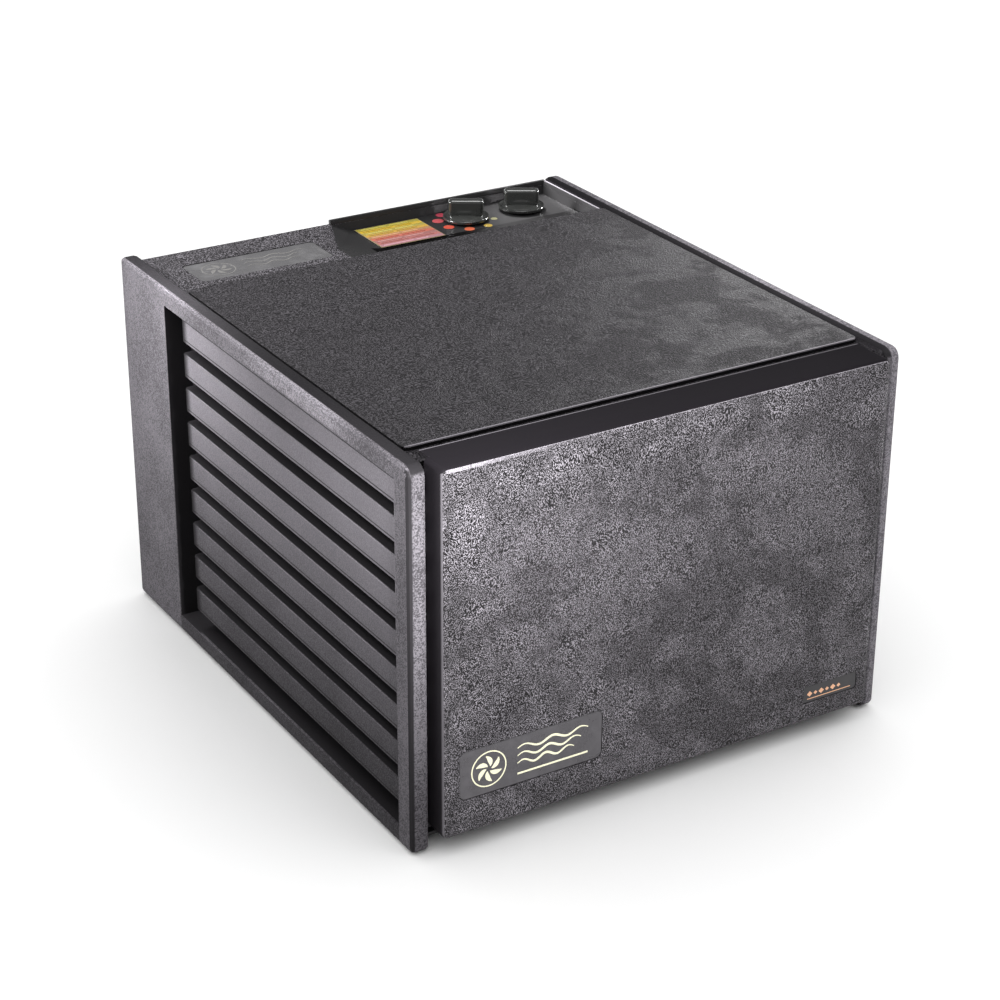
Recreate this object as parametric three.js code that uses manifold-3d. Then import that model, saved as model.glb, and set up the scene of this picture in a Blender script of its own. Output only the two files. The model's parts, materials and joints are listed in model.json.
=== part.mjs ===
// Box food dehydrator: corrugated side panels that carry nine sliding trays, a front door that
// pulls off, a sunken control panel at the rear of the top, and a fan heater behind the trays.
// Millimetres. +X to the right, the door faces -Y, +Z up. The floor is z = 0 and the origin lies
// under the middle of the whole outline.

import * as THREE from "three";
import { mergeVertices } from "three/addons/utils/BufferGeometryUtils.js";
import { ConvexGeometry } from "three/addons/geometries/ConvexGeometry.js";
import Module from "manifold-3d";

const wasm = await Module();
wasm.setup();

// ---------------------------------------------------------------- driving dimensions
// Cabinet frame: x = 0 in the middle, y = 0 at the side panels' front, z = 0 at their underside.

const WIDTH = 432;
const DEPTH = 489;
const HEIGHT = 313.6;
const FLOOR_GAP = 2;
const CLEAR = 0.3;
const WALL = 3;

const PANEL = { thick: 15, edge: 3.5, corner: 4.5, frontTopCorner: 9 };
const RECESS = { front: 20, rear: 402, bottom: 15, top: 299, depth: 1 };
const GROOVE = { height: 11, topOfFirst: 279, floorX: 186.5 };
const CORRUGATION_WALL = 2.5;
const CHANNEL = { front: 372, floorX: 194 };
const BAR_END = { x: 211, y: 368, reachX: 4, reachY: 4, chords: 4 };
const REAR_POCKET = { y: [412, 466], z: [14, 290] };

const TRAY = { count: 9, pitch: 30.35, size: 381, height: 7, front: 16, rim: 10, web: 6, slots: 8 };
const SCREEN_THICK = 0.8;

const DOOR = { halfWidth: 196.5, front: -13, back: 12, lipBack: 25, bottom: 13.5, top: 313 };
const BADGE = { x: [-183, -59], z: [43, 84], corner: 5 };
const SMALL_BADGE = { x: [132, 185], z: [31, 46], corner: 2.5 };
const DECK_BADGE = { x: [-175, -53], y: [415, 457], corner: 4 };
const LABEL = { x: [0, 63], y: [428.5, 479.5] };
const PLATE_THICK = 0.5;
const PLATE_POCKET = 1.2;
const TOP = { front: 33.5, rear: 390, surface: 313.2, corner: 5, ledgeFront: 14 };
const DECK = { front: 390.3, rear: 488.7, surface: 307.2, rim: 311.1 };
const PIT_FLOOR = 300;

const BASE = { front: 12, rear: 482, bottom: 4 };
const BAFFLE_FRONT = 404.8;
const COVER_FRONT = 482.3;
const BACK_TOP = 297.2;
const FAN = { x: 0, z: 152, tip: 70, hub: 18, shaft: 2.5 };

const KNOB_Y = 456;
const THERMOSTAT_X = 99.5;
const TIMER_X = 157;
const KNOB_TURN = -31;
const KNOB_BOTTOM = PIT_FLOOR + 1.6;
const KNOB_BORE = 11;
const SHAFT_RADIUS = 3;
const SHAFT_BOTTOM = 282;

const BASE_SCREW_Y = [60, 380];
const COVER_SCREW_Z = [25, 275];
const REAR_FLANGE_TOP = 283;
const REAR_FLANGE_DEPTH = 12;
const CHANNEL_MOUTH = 10;
const FOOT_SPOTS = [[-165, 45], [165, 45], [-165, 440], [165, 440]];
const GLAND = { x: 150, z: 40, hole: 6.8 };
const SCREW = { head: 4, headHeight: 2.2, shank: 2, hole: 2.3, x: 192, room: 0.5 };
const BASE_SCREW_LENGTH = 9;
const COVER_SCREW_LENGTH = 12;

const halfWidth = WIDTH / 2;
const innerX = halfWidth - PANEL.thick;
const betweenX = innerX - CLEAR;
const ridgeX = GROOVE.floorX - CORRUGATION_WALL;
const SHELF_X = ridgeX + 9;

// The control pit: corners of its floor and its mouth, and of the shell that carries it.
const PIT = {
  floor: [[-2, 412], [196, 412], [196, 482], [-2, 482]],
  mouth: [[-72, 391], [199.2, 391], [199.2, 486.2], [-32, 486.2]],
  mouthHeight: 12,
  shellBottom: [[-5, 408], [199.5, 408], [199.5, 485.5], [-5, 485.5]],
  shellTop: [[-47, DECK.front], [betweenX, DECK.front], [betweenX, DECK.rear], [-23, DECK.rear]],
  rearRim: { x: [-20, betweenX], y: [485, DECK.rear] },
  rightRim: { x: [198, betweenX], y: [DECK.front, DECK.rear] },
};

// ---------------------------------------------------------------- solids

// A closed triangle geometry as a solid that can be joined and cut.
function toSolid(geometry) {
  const plain = geometry.clone();
  plain.deleteAttribute("normal");
  plain.deleteAttribute("uv");
  const merged = mergeVertices(plain, 1e-4);
  const corners = merged.index.array;
  const triangles = [];
  for (let i = 0; i < corners.length; i += 3) {
    const [a, b, c] = [corners[i], corners[i + 1], corners[i + 2]];
    if (a !== b && b !== c && c !== a) {
      triangles.push(a, b, c);
    }
  }
  return new wasm.Manifold(new wasm.Mesh({
    numProp: 3,
    vertProperties: new Float32Array(merged.attributes.position.array),
    triVerts: new Uint32Array(triangles),
  }));
}

function toGeometry(solid) {
  const mesh = solid.getMesh();
  const geometry = new THREE.BufferGeometry();
  geometry.setAttribute("position", new THREE.BufferAttribute(mesh.vertProperties, 3));
  geometry.setIndex(new THREE.BufferAttribute(mesh.triVerts, 1));
  geometry.computeVertexNormals();
  return geometry;
}

// A box from three [low, high] pairs.
function box(x, y, z) {
  const geometry = new THREE.BoxGeometry(x[1] - x[0], y[1] - y[0], z[1] - z[0]);
  geometry.translate((x[0] + x[1]) / 2, (y[0] + y[1]) / 2, (z[0] + z[1]) / 2);
  return toSolid(geometry);
}

// The [low, high] pair of a band between two distances from the middle, on one side.
function band(side, inner, outer) {
  return side > 0 ? [inner, outer] : [-outer, -inner];
}

// Turns a geometry extruded along Z so that it runs along the named axis: x reads the shape as
// (y, z), y reads it as (x, z) and z as (x, y). It is then moved to its lower end.
function alongAxis(geometry, axis, from, to) {
  const [ex, ey, ez] = [[1, 0, 0], [0, 1, 0], [0, 0, 1]].map((v) => new THREE.Vector3(...v));
  if (axis === "x") {
    geometry.applyMatrix4(new THREE.Matrix4().makeBasis(ey, ez, ex));
    geometry.translate(from, 0, 0);
  } else if (axis === "y") {
    geometry.applyMatrix4(new THREE.Matrix4().makeBasis(ex, ez, ey.negate()));
    geometry.translate(0, to, 0);
  } else {
    geometry.translate(0, 0, from);
  }
  return geometry;
}

function prism(shape, axis, from, to, curveSegments = 2) {
  const options = { depth: to - from, bevelEnabled: false, curveSegments };
  return toSolid(alongAxis(new THREE.ExtrudeGeometry(shape, options), axis, from, to));
}

// A prism whose two end faces have rounded edges.
function softPrism(shape, axis, from, to, edge, curveSegments = 2) {
  const options = {
    depth: to - from - 2 * edge,
    bevelSize: edge,
    bevelThickness: edge,
    bevelOffset: -edge,
    bevelSegments: 2,
    curveSegments,
  };
  const geometry = new THREE.ExtrudeGeometry(shape, options);
  geometry.translate(0, 0, edge);
  return toSolid(alongAxis(geometry, axis, from, to));
}

// An arc is drawn with two chords for each curve segment, so a full circle takes sides / 2.
function rod(axis, u, v, radius, from, to, sides = 16) {
  const shape = new THREE.Shape();
  shape.absarc(u, v, radius, 0, 2 * Math.PI);
  return prism(shape, axis, from, to, sides / 2);
}

function polygon(points) {
  return new THREE.Shape(points.map(([u, v]) => new THREE.Vector2(u, v)));
}

// A rectangle with an arc at each corner; radii run anticlockwise from the low, low corner.
function roundedRect(u, v, radii) {
  const [r0, r1, r2, r3] = Array.isArray(radii) ? radii : [radii, radii, radii, radii];
  const shape = new THREE.Shape();
  shape.absarc(u[0] + r0, v[0] + r0, r0, Math.PI, 1.5 * Math.PI);
  shape.absarc(u[1] - r1, v[0] + r1, r1, 1.5 * Math.PI, 2 * Math.PI);
  shape.absarc(u[1] - r2, v[1] - r2, r2, 0, 0.5 * Math.PI);
  shape.absarc(u[0] + r3, v[1] - r3, r3, 0.5 * Math.PI, Math.PI);
  return shape;
}

// The hull between a lower and an upper four-cornered outline, each [[x, y] x 4].
function taperedBlock(lower, lowZ, upper, highZ) {
  const corners = [];
  lower.forEach(([x, y]) => corners.push(new THREE.Vector3(x, y, lowZ)));
  upper.forEach(([x, y]) => corners.push(new THREE.Vector3(x, y, highZ)));
  return toSolid(new ConvexGeometry(corners));
}

// A round wire or tube through the given points.
function tube(points, radius, steps, sides) {
  const path = new THREE.CatmullRomCurve3(points.map((p) => new THREE.Vector3(...p)));
  const section = new THREE.Shape();
  section.absarc(0, 0, radius, 0, 2 * Math.PI);
  const options = { extrudePath: path, steps, curveSegments: sides / 2, bevelEnabled: false };
  return toSolid(new THREE.ExtrudeGeometry(section, options));
}

function union(solids) {
  return solids.reduce((sum, solid) => sum.add(solid));
}

function cut(solid, cutters) {
  return cutters.reduce((rest, cutter) => rest.subtract(cutter), solid);
}

// ---------------------------------------------------------------- side panels

// Heights of the outer groove whose inner side carries tray k, counted from the top.
function grooveSpan(k) {
  const top = GROOVE.topOfFirst - (k - 1) * TRAY.pitch;
  const bottom = k === TRAY.count ? RECESS.bottom : top - GROOVE.height;
  return [bottom, top];
}

function trayRestHeight(k) {
  return grooveSpan(k)[1] + CORRUGATION_WALL;
}

// Points round the rear end of the bars, from the channel to the outer face, set in by a wall.
function barEnd(wall) {
  const points = [];
  for (let i = 0; i <= BAR_END.chords; i += 1) {
    const angle = (Math.PI / 2) * (1 - i / BAR_END.chords);
    points.push([
      BAR_END.x + (BAR_END.reachX - wall) * Math.cos(angle),
      BAR_END.y + (BAR_END.reachY - wall) * Math.sin(angle),
    ]);
  }
  return points;
}

// A prism through all of z from an outline drawn for the right side.
function sidePrism(side, outline, z) {
  return prism(polygon(outline.map(([x, y]) => [side * x, y])), "z", ...z);
}

// The space that tray k slides in, open to the chamber and to the front.
function trayChannel(side, k) {
  const top = k === 1 ? RECESS.top : grooveSpan(k - 1)[0] - CORRUGATION_WALL;
  const start = RECESS.front + CORRUGATION_WALL;
  const end = RECESS.rear - CORRUGATION_WALL;
  const rearX = CHANNEL.floorX - CORRUGATION_WALL;
  const barX = halfWidth - RECESS.depth - CORRUGATION_WALL;
  const outline = [
    [ridgeX - 1, CHANNEL_MOUTH],
    [innerX, CHANNEL_MOUTH],
    [innerX, start],
    [barX, start],
    ...barEnd(CORRUGATION_WALL).reverse(),
    [rearX, CHANNEL.front - CORRUGATION_WALL],
    [rearX, end],
    [ridgeX - 1, end],
  ];
  return sidePrism(side, outline, [trayRestHeight(k), top]);
}

// The upright channel on the outer face that all the grooves run into at the rear.
function rearChannel(side) {
  const outline = [
    [halfWidth + 1, BAR_END.y],
    [halfWidth + 1, RECESS.rear],
    [CHANNEL.floorX, RECESS.rear],
    [CHANNEL.floorX, CHANNEL.front],
    ...barEnd(0),
  ];
  return sidePrism(side, outline, [RECESS.bottom, RECESS.top]);
}

function sidePanel(side) {
  const radii = [PANEL.corner, PANEL.corner, PANEL.corner, PANEL.frontTopCorner];
  const outline = roundedRect([0, DEPTH], [0, HEIGHT], radii);
  const slab = softPrism(outline, "x", ...band(side, innerX, halfWidth), PANEL.edge);
  const blockY = [RECESS.front - CORRUGATION_WALL, RECESS.rear + CORRUGATION_WALL];
  const rooted = innerX + PANEL.thick / 3;
  const baseTop = BASE.bottom + WALL + CLEAR;
  const topShelf = [trayRestHeight(1) - 1, RECESS.top + CORRUGATION_WALL];
  const rearFlangeY = [COVER_FRONT - CLEAR - REAR_FLANGE_DEPTH, COVER_FRONT - CLEAR];

  const body = union([
    slab,
    box(band(side, ridgeX, rooted), blockY, [baseTop, trayRestHeight(1)]),
    box(band(side, SHELF_X, rooted), blockY, topShelf),
    box(band(side, ridgeX, rooted), rearFlangeY, [baseTop, REAR_FLANGE_TOP]),
  ]);

  const recessY = [RECESS.front, RECESS.rear];
  const recessX = [halfWidth - RECESS.depth, halfWidth + 1];
  const cutters = [
    box(band(side, ...recessX), recessY, [RECESS.bottom, RECESS.top]),
    rearChannel(side),
    box(band(side, innerX - 1, halfWidth - WALL), REAR_POCKET.y, REAR_POCKET.z),
  ];
  for (let k = 1; k <= TRAY.count; k += 1) {
    cutters.push(box(band(side, GROOVE.floorX, halfWidth + 1), recessY, grooveSpan(k)));
    cutters.push(trayChannel(side, k));
  }
  const baseHole = [baseTop - 1, BASE.bottom - CLEAR + BASE_SCREW_LENGTH + SCREW.room];
  for (const y of BASE_SCREW_Y) {
    cutters.push(rod("z", side * SCREW.x, y, SCREW.hole, ...baseHole, 8));
  }
  const coverHole = COVER_FRONT + WALL + CLEAR - COVER_SCREW_LENGTH - SCREW.room;
  for (const z of COVER_SCREW_Z) {
    cutters.push(rod("y", side * SCREW.x, z, SCREW.hole, coverHole, COVER_FRONT, 8));
  }
  return cut(body, cutters);
}

// ---------------------------------------------------------------- outer shells

// A shallow tray upside down, with a ledge at the front that the door's top lip lies on.
function topPanel() {
  const skirtBottom = RECESS.top + CORRUGATION_WALL + CLEAR;
  const x = [-betweenX, betweenX];
  const y = [TOP.front, TOP.rear];
  const outer = prism(roundedRect(x, y, TOP.corner), "z", skirtBottom, TOP.surface);
  const hollow = box(
    [x[0] + WALL, x[1] - WALL],
    [y[0] + WALL, y[1] - WALL],
    [skirtBottom - 1, TOP.surface - WALL],
  );
  const ledgeTop = DOOR.top - WALL - CLEAR;
  const ledge = box(x, [TOP.ledgeFront, TOP.front + WALL], [ledgeTop - WALL, ledgeTop]);
  return outer.subtract(hollow).add(ledge);
}

function basePanel() {
  const x = [-betweenX, betweenX];
  const plate = box(x, [BASE.front, BASE.rear], [BASE.bottom, BASE.bottom + WALL]);
  const lipX = [-ridgeX + 1, ridgeX - 1];
  const frontLip = box(lipX, [BASE.front, BASE.front + WALL], [BASE.bottom, 12]);
  const rearLip = box(lipX, [BASE.rear - WALL, BASE.rear], [BASE.bottom, 12]);
  const holes = [];
  for (const side of [-1, 1]) {
    for (const y of BASE_SCREW_Y) {
      holes.push(rod("z", side * SCREW.x, y, SCREW.hole, 0, 10, 8));
    }
  }
  return cut(union([plate, frontLip, rearLip]), holes);
}

function foot(x, y) {
  const top = BASE.bottom - CLEAR;
  const profile = [[0, -FLOOR_GAP], [8, -FLOOR_GAP], [9.5, -FLOOR_GAP + 1.2], [11, top], [0, top]];
  const geometry = new THREE.LatheGeometry(profile.map(([r, z]) => new THREE.Vector2(r, z)), 16);
  geometry.rotateX(Math.PI / 2);
  geometry.translate(x, y, 0);
  return toSolid(geometry);
}

// The textured deck behind the top panel, with the control pit sunk into its right half.
function controlHousing() {
  const x = [-betweenX, betweenX];
  const skirtZ = [BACK_TOP + CLEAR, DECK.surface];
  const outer = box(x, [DECK.front, DECK.rear], skirtZ);
  const hollow = box(
    [x[0] + WALL, x[1] - WALL],
    [DECK.front + WALL, DECK.rear - WALL],
    [skirtZ[0] - 1, DECK.surface - WALL],
  );
  const pitShell = taperedBlock(PIT.shellBottom, skirtZ[0], PIT.shellTop, DECK.surface);
  const rims = [PIT.rearRim, PIT.rightRim].map((rim) =>
    box(rim.x, rim.y, [DECK.surface - 2, DECK.rim]));
  const pit = taperedBlock(PIT.floor, PIT_FLOOR, PIT.mouth, PIT_FLOOR + PIT.mouthHeight);
  const badgeShape = roundedRect(DECK_BADGE.x, DECK_BADGE.y, DECK_BADGE.corner);
  const badgePocket = prism(badgeShape, "z", DECK.surface - PLATE_POCKET, DECK.surface + 3);
  const shell = union([outer.subtract(hollow), pitShell, ...rims]);
  const shelfNotches = [-1, 1].map((side) => box(
    band(side, SHELF_X - CLEAR, innerX + 1),
    [DECK.front - 1, RECESS.rear + CORRUGATION_WALL + CLEAR],
    [skirtZ[0] - 1, RECESS.top + CORRUGATION_WALL + CLEAR],
  ));
  const shaftHoles = [THERMOSTAT_X, TIMER_X].map((x0) =>
    rod("z", x0, KNOB_Y, SHAFT_RADIUS + 0.6, PIT_FLOOR - 10, PIT_FLOOR + 5, 12));
  return cut(shell, [pit, badgePocket, ...shelfNotches, ...shaftHoles]);
}

function door() {
  const halfX = DOOR.halfWidth;
  const outline = roundedRect([-halfX, halfX], [DOOR.bottom, DOOR.top], PANEL.corner);
  const block = softPrism(outline, "y", DOOR.front, DOOR.back + 10, PANEL.edge);
  const behind = box([-halfX - 1, halfX + 1], [DOOR.back, DOOR.back + 20], [0, HEIGHT + 10]);
  const inside = box(
    [-halfX + WALL, halfX - WALL],
    [DOOR.front + WALL + 0.5, DOOR.back + 1],
    [DOOR.bottom + WALL, DOOR.top - WALL],
  );
  const lip = box(
    [-halfX + PANEL.edge, halfX - PANEL.edge],
    [DOOR.back - 1, DOOR.lipBack],
    [DOOR.top - WALL, DOOR.top],
  );
  const pockets = [BADGE, SMALL_BADGE].map((plate) =>
    prism(roundedRect(plate.x, plate.z, plate.corner), "y", DOOR.front - 1, DOOR.front + PLATE_POCKET));
  return cut(block, [behind, inside, ...pockets]).add(lip);
}

// A thin plate in its pocket in the door's front face.
function doorPlate({ x, z, corner }) {
  const inset = roundedRect([x[0] + CLEAR, x[1] - CLEAR], [z[0] + CLEAR, z[1] - CLEAR], corner);
  const back = DOOR.front + PLATE_POCKET - CLEAR;
  return prism(inset, "y", back - PLATE_THICK, back);
}

function deckBadge() {
  const { x, y, corner } = DECK_BADGE;
  const inset = roundedRect([x[0] + CLEAR, x[1] - CLEAR], [y[0] + CLEAR, y[1] - CLEAR], corner);
  const bottom = DECK.surface - PLATE_POCKET + CLEAR;
  return prism(inset, "z", bottom, bottom + PLATE_THICK);
}

function controlLabel() {
  const bottom = PIT_FLOOR + CLEAR;
  return box(LABEL.x, LABEL.y, [bottom, bottom + PLATE_THICK]);
}

// Slots clipped to a circle, as a guard in front of the fan or an intake behind it.
function guardSlots(radius, slot, pitch, vertical, y) {
  const count = Math.floor(radius / pitch);
  const slots = [];
  for (let i = -count; i <= count; i += 1) {
    const across = [i * pitch - slot / 2, i * pitch + slot / 2];
    const reach = Math.sqrt(radius ** 2 - (Math.abs(i * pitch) + slot / 2) ** 2);
    if (reach > slot) {
      const x = vertical ? across : [-reach, reach];
      const z = vertical ? [-reach, reach] : across;
      const shape = roundedRect(
        x.map((v) => v + FAN.x), z.map((v) => v + FAN.z), slot / 2 - 0.1,
      );
      slots.push(prism(shape, "y", y - 1, y + WALL + 1, 1));
    }
  }
  return slots;
}

function fanBaffle() {
  const x = [-betweenX, betweenX];
  const z = [BASE.bottom + WALL + CLEAR, BACK_TOP];
  const plate = box(x, [BAFFLE_FRONT, BAFFLE_FRONT + WALL], z);
  return cut(plate, guardSlots(78, 9, 13, true, BAFFLE_FRONT));
}

function rearCover() {
  const x = [-betweenX, betweenX];
  const z = [BASE.bottom + WALL + CLEAR, BACK_TOP];
  const plate = box(x, [COVER_FRONT, COVER_FRONT + WALL], z);
  const holes = [rod("y", GLAND.x, GLAND.z, GLAND.hole, COVER_FRONT - 1, COVER_FRONT + 5)];
  for (const side of [-1, 1]) {
    for (const height of COVER_SCREW_Z) {
      holes.push(rod("y", side * SCREW.x, height, SCREW.hole, COVER_FRONT - 1, COVER_FRONT + 5, 8));
    }
  }
  return cut(plate, [...guardSlots(74, 5.5, 10, false, COVER_FRONT), ...holes]);
}

// The bush that the mains lead would pass through, snapped into the rear cover.
function cordGland() {
  const y = [COVER_FRONT - 5, COVER_FRONT + WALL + 2.5];
  const barrel = GLAND.hole - CLEAR;
  const profile = [
    [4, y[0]], [barrel, y[0]], [barrel, COVER_FRONT + WALL + CLEAR],
    [10, COVER_FRONT + WALL + CLEAR], [9, y[1]], [4, y[1]], [4, y[0]],
  ];
  const geometry = new THREE.LatheGeometry(profile.map(([r, h]) => new THREE.Vector2(r, h)), 16);
  geometry.translate(GLAND.x, 0, GLAND.z);
  return toSolid(geometry);
}

// ---------------------------------------------------------------- trays

function trayFrame(k) {
  const bottom = trayRestHeight(k) + CLEAR / 2;
  const half = TRAY.size / 2;
  const y = [TRAY.front, TRAY.front + TRAY.size];
  const outer = box([-half, half], y, [bottom, bottom + TRAY.height]);
  const inner = half - TRAY.rim;
  const seat = box(
    [-inner, inner],
    [y[0] + TRAY.rim, y[1] - TRAY.rim],
    [bottom + 3, bottom + TRAY.height + 1],
  );
  const slots = [];
  const step = (2 * inner) / TRAY.slots;
  for (let i = 0; i < TRAY.slots; i += 1) {
    const x = [-inner + i * step + TRAY.web / 2, -inner + (i + 1) * step - TRAY.web / 2];
    slots.push(box(x, [y[0] + TRAY.rim, y[1] - TRAY.rim], [bottom - 1, bottom + 4]));
  }
  return cut(outer, [seat, ...slots]);
}

// The flexible sheet that lies in the tray frame.
function trayScreen(k) {
  const bottom = trayRestHeight(k) + CLEAR / 2 + 3 + CLEAR;
  const half = TRAY.size / 2 - TRAY.rim - 0.7;
  const middle = TRAY.front + TRAY.size / 2;
  return box([-half, half], [middle - half, middle + half], [bottom, bottom + SCREEN_THICK]);
}

// ---------------------------------------------------------------- controls

// A skirt disc with a tall grip bar across it, bored from below for its shaft.
function knob(x) {
  const bottom = KNOB_BOTTOM;
  const profile = [
    [0, bottom], [19.6, bottom], [20.5, bottom + 0.9], [20.2, bottom + 2.6],
    [17, bottom + 4], [7, bottom + 4.6], [0, bottom + 4.6],
  ];
  const skirt = new THREE.LatheGeometry(profile.map(([r, z]) => new THREE.Vector2(r, z)), 32);
  skirt.rotateX(Math.PI / 2);
  const grip = new THREE.ExtrudeGeometry(roundedRect([-15.6, 15.6], [-5, 5], 4), {
    depth: 13.7,
    bevelSize: 1.6,
    bevelThickness: 1.6,
    bevelOffset: -1.6,
    bevelSegments: 2,
    curveSegments: 2,
  });
  grip.translate(0, 0, bottom + 2);
  grip.rotateZ(THREE.MathUtils.degToRad(KNOB_TURN));
  const whole = toSolid(skirt).add(toSolid(grip));
  const bore = rod("z", 0, 0, SHAFT_RADIUS + CLEAR, bottom - 1, bottom + KNOB_BORE, 12);
  return whole.subtract(bore).translate([x, KNOB_Y, 0]);
}

function knobShaft(x) {
  return rod("z", x, KNOB_Y, SHAFT_RADIUS, SHAFT_BOTTOM, KNOB_BOTTOM + KNOB_BORE - CLEAR, 12);
}

// A switch body hanging under the pit floor, bored for its shaft.
function switchBody(x, halfX, halfY, bottom) {
  const top = BACK_TOP;
  const shape = roundedRect([x - halfX, x + halfX], [KNOB_Y - halfY, KNOB_Y + halfY], 3);
  const bore = rod("z", x, KNOB_Y, SHAFT_RADIUS + 0.4, SHAFT_BOTTOM - 1, top + 1, 12);
  return prism(shape, "z", bottom, top).subtract(bore);
}

// The thermostat's sensing bulb, hung in the warm air on its capillary tube.
function sensorBulb() {
  const x = 110;
  const capillary = tube(
    [[100, 450, 269.5], [101, 446, 258], [106, 428, 244], [x, 416, 226], [x, 415, 190]],
    1.4, 16, 6,
  );
  return capillary.add(rod("z", x, 415, 3.5, 140, 192, 12));
}

// ---------------------------------------------------------------- fan and heater

function fanMotor() {
  const can = rod("y", FAN.x, FAN.z, 31, 444, 473, 28);
  const boss = rod("y", FAN.x, FAN.z, 12, 438, 446, 16);
  const bore = rod("y", FAN.x, FAN.z, FAN.shaft + CLEAR, 437, 462, 12);
  return can.add(boss).subtract(bore);
}

function motorShaft() {
  return rod("y", FAN.x, FAN.z, FAN.shaft, 413, 461, 12);
}

function fanBlades() {
  const blades = [];
  const count = 6;
  for (let i = 0; i < count; i += 1) {
    const blade = new THREE.BoxGeometry(FAN.tip - FAN.hub + 4, 2, 34);
    blade.rotateX(THREE.MathUtils.degToRad(58));
    blade.translate((FAN.tip + FAN.hub - 4) / 2, 0, 0);
    blade.rotateY((i * 2 * Math.PI) / count);
    blade.translate(FAN.x, 425, FAN.z);
    blades.push(toSolid(blade));
  }
  const hub = rod("y", FAN.x, FAN.z, FAN.hub, 413.5, 434, 24);
  const bore = rod("y", FAN.x, FAN.z, FAN.shaft + CLEAR, 410, 436, 12);
  return union([hub, ...blades]).subtract(bore);
}

// A strap behind the motor, folded back at both ends onto the rear cover.
function motorBracket() {
  const back = COVER_FRONT - CLEAR;
  const outline = [
    [-70, back - 2], [-56, back - 2], [-44, 473.3], [44, 473.3], [56, back - 2], [70, back - 2],
    [70, back], [54.6, back], [42.6, 475.3], [-42.6, 475.3], [-54.6, back], [-70, back],
  ];
  return prism(polygon(outline), "z", FAN.z - 13, FAN.z + 13);
}

const ELEMENT = { radius: 90, tube: 3, y: 416, openHalfAngle: 14 };

// The sheathed heating element: a ring round the fan, open at the bottom.
function heatingElement() {
  const steps = 14;
  const start = -90 + ELEMENT.openHalfAngle;
  const sweep = 360 - 2 * ELEMENT.openHalfAngle;
  const points = [];
  for (let i = 0; i <= steps; i += 1) {
    const angle = THREE.MathUtils.degToRad(start + (sweep * i) / steps);
    points.push([
      FAN.x + ELEMENT.radius * Math.cos(angle),
      ELEMENT.y,
      FAN.z + ELEMENT.radius * Math.sin(angle),
    ]);
  }
  return tube(points, ELEMENT.tube, 36, 8);
}

// A ceramic block on the baffle that the element passes through.
function elementInsulator(side) {
  const x = side * ELEMENT.radius;
  const block = box([x - 9, x + 9], [BAFFLE_FRONT + WALL + CLEAR, 425], [FAN.z - 6, FAN.z + 6]);
  return block.subtract(rod("z", x, ELEMENT.y, ELEMENT.tube + 0.8, FAN.z - 7, FAN.z + 7, 12));
}

function thermalCutoff() {
  const y = [BAFFLE_FRONT + WALL + CLEAR, 414];
  return prism(roundedRect([-124, -104], [226, 240], 3), "y", ...y);
}

function terminalBlock() {
  const body = box([130, 170], [468, COVER_FRONT - CLEAR], [62, 80]);
  const slots = [-12, 0, 12].map((offset) => box([146 + offset, 152 + offset], [460, 474], [66, 90]));
  return cut(body, slots);
}

// The lead from the terminal block up to the thermostat.
function supplyWire() {
  const route = [[152, 476, 80.5], [150, 474, 110], [128, 466, 190], [110, 460, 250], [106, 458, 269.5]];
  return tube(route, 1.6, 18, 6);
}

// ---------------------------------------------------------------- fasteners

function screw(axis, u, v, headStart, direction, length) {
  const headEnd = headStart + direction * SCREW.headHeight;
  const tip = headEnd + direction * length;
  const sorted = (a, b) => [Math.min(a, b), Math.max(a, b)];
  const head = rod(axis, u, v, SCREW.head, ...sorted(headStart, headEnd), 10);
  const shank = rod(axis, u, v, SCREW.shank, ...sorted(headEnd - direction, tip), 8);
  return head.add(shank);
}

// ---------------------------------------------------------------- assembly

function finish(color, roughness, metalness) {
  return new THREE.MeshStandardMaterial({ color, roughness, metalness });
}

const FINISH = {
  moulded: finish(0x37363a, 0.6, 0),
  leather_grain: finish(0x2e2d31, 0.5, 0),
  satin_black: finish(0x17171a, 0.4, 0),
  gloss_black: finish(0x0c0c0e, 0.15, 0),
  plate_grey: finish(0x4a474e, 0.35, 0.2),
  copper_print: finish(0x3b3136, 0.35, 0.3),
  chart: finish(0xd9a35a, 0.5, 0),
  tray_black: finish(0x1c1c1e, 0.45, 0),
  screen_white: finish(0xe8e6df, 0.55, 0),
  rubber: finish(0x1a1a1a, 0.9, 0),
  steel: finish(0xa9abad, 0.35, 1),
  element: finish(0x6a5f58, 0.45, 1),
  ceramic: finish(0xe9e4d8, 0.5, 0),
  phenolic: finish(0x2a241f, 0.5, 0),
  brass: finish(0xb08d4a, 0.35, 1),
  wire: finish(0xc9c4ba, 0.5, 0),
};

const cabinet = new THREE.Group();
cabinet.position.set(0, -(DEPTH + DOOR.front) / 2, FLOOR_GAP);

function place(name, solid, material) {
  const mesh = new THREE.Mesh(toGeometry(solid), material);
  mesh.name = name;
  cabinet.add(mesh);
}

place("left_side_panel", sidePanel(-1), FINISH.moulded);
place("right_side_panel", sidePanel(1), FINISH.moulded);
place("top_panel", topPanel(), FINISH.leather_grain);
place("base_panel", basePanel(), FINISH.satin_black);
place("control_housing", controlHousing(), FINISH.leather_grain);
place("rear_cover", rearCover(), FINISH.satin_black);
place("fan_baffle", fanBaffle(), FINISH.satin_black);
place("cord_gland", cordGland(), FINISH.rubber);

place("door_shell", door(), FINISH.leather_grain);
place("door_badge", doorPlate(BADGE), FINISH.plate_grey);
place("door_small_badge", doorPlate(SMALL_BADGE), FINISH.copper_print);
place("deck_badge", deckBadge(), FINISH.plate_grey);
place("control_label", controlLabel(), FINISH.chart);

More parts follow.
